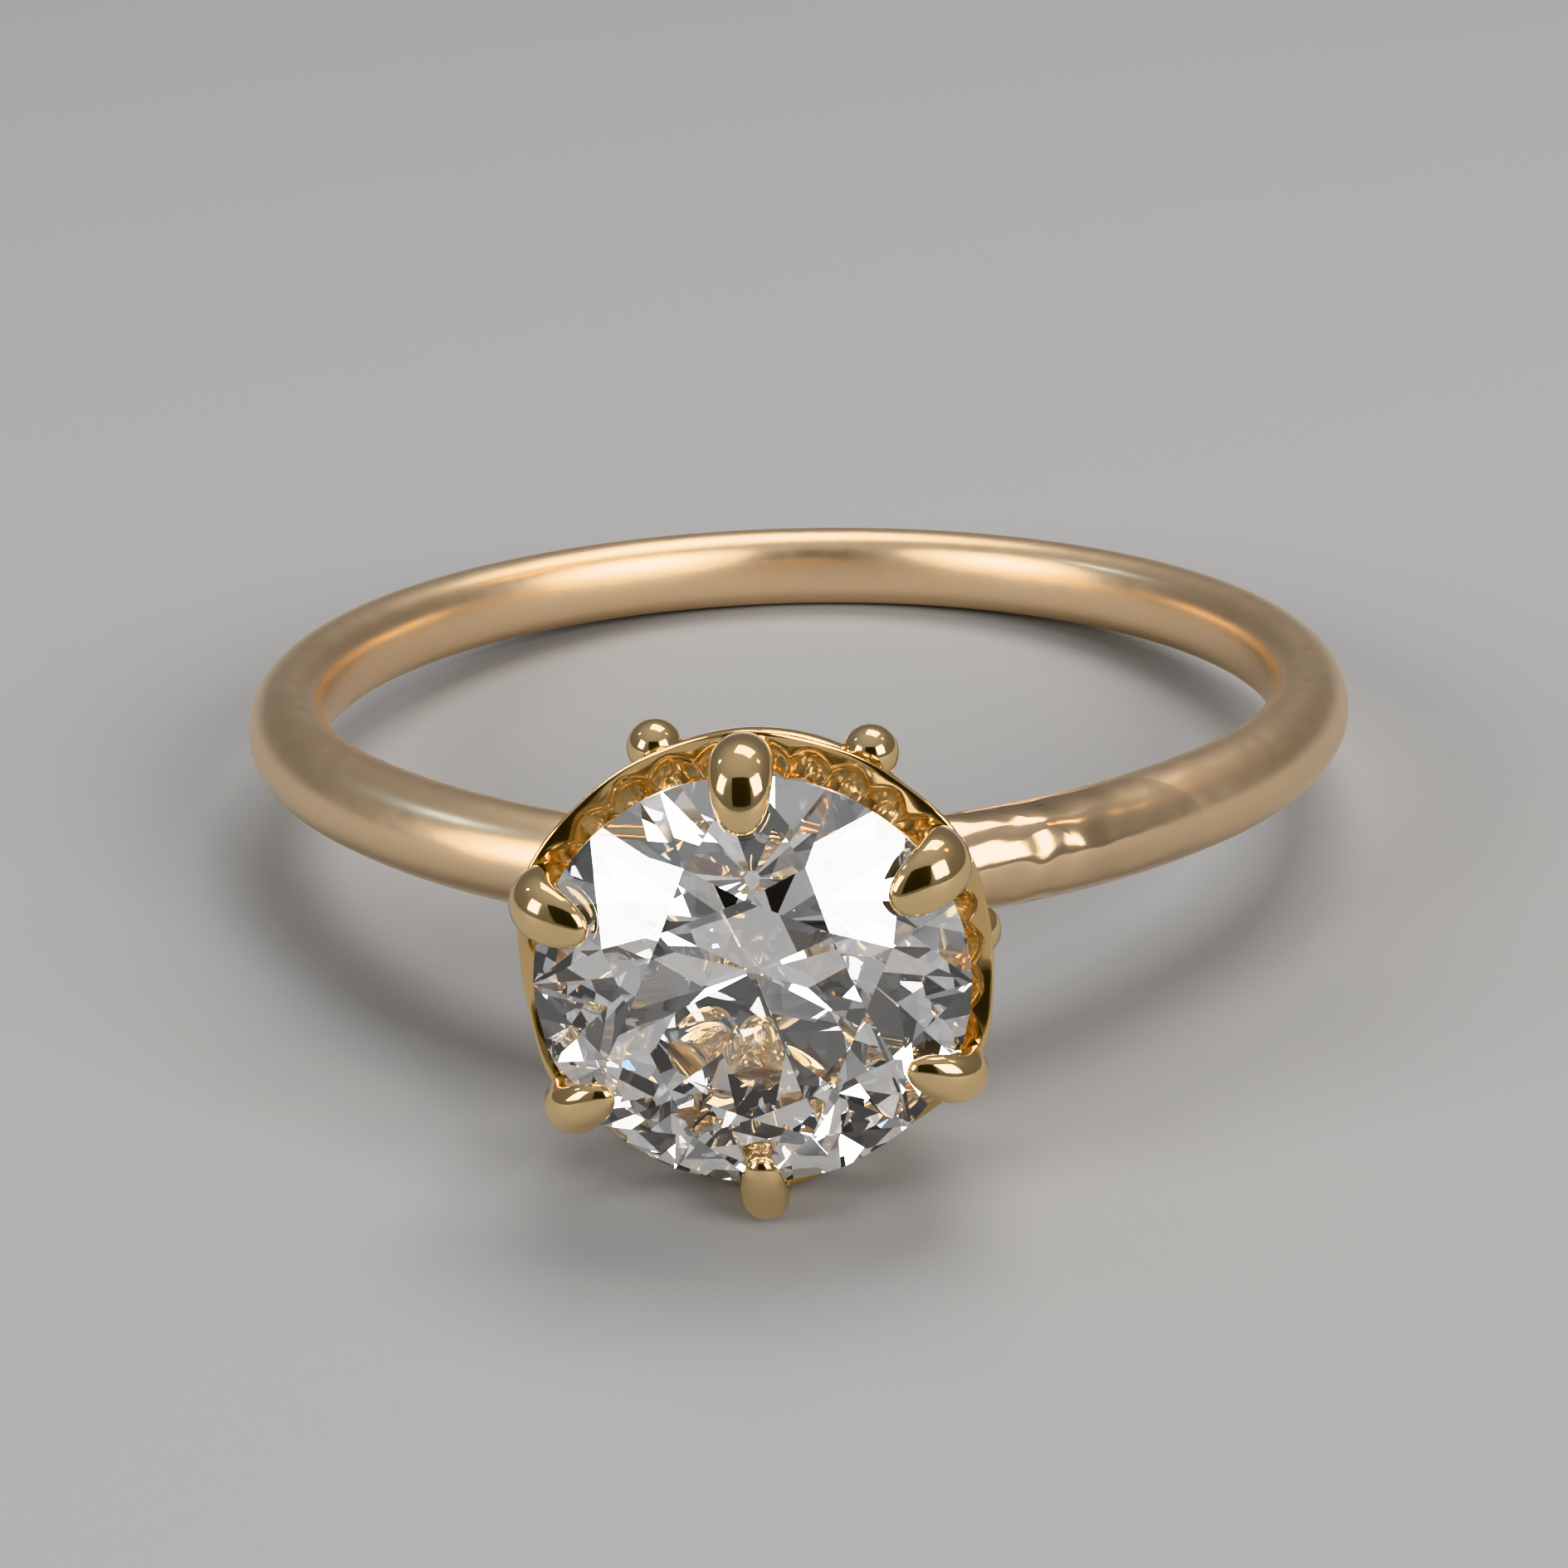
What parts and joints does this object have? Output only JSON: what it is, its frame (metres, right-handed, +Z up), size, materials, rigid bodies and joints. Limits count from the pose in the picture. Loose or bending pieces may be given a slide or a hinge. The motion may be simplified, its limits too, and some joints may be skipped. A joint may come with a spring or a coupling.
{
  "type": "engagement ring",
  "caption": "Solitaire finger ring lying on its side: a round faceted stone in a claw crown with a beaded gallery on a slim rounded band.",
  "frame": {"origin": "centre of the footprint on the surface the ring lies on", "axes": "+Z up; the head points along -Y and the band closes at +Y; +X to the right seen from the head's side"},
  "size_m": [0.0196, 0.0246, 0.0071],
  "materials": {
    "yellow_gold": "polished yellow gold with faint hand-finishing marks",
    "stone": "colourless faceted diamond, polished"
  },
  "bodies": {
    "root": {"shank": "yellow_gold", "left_shoulder": "yellow_gold", "right_shoulder": "yellow_gold", "base_collet": "yellow_gold", "gallery_rail": "yellow_gold", "crown_wall": "yellow_gold", "claw_1": "yellow_gold", "claw_2": "yellow_gold", "claw_3": "yellow_gold", "claw_4": "yellow_gold", "claw_5": "yellow_gold", "claw_6": "yellow_gold", "bead_1": "yellow_gold", "bead_2": "yellow_gold", "bead_3": "yellow_gold", "bead_4": "yellow_gold", "bead_5": "yellow_gold", "bead_6": "yellow_gold", "centre_stone": "stone"}
  },
  "joints": []
}
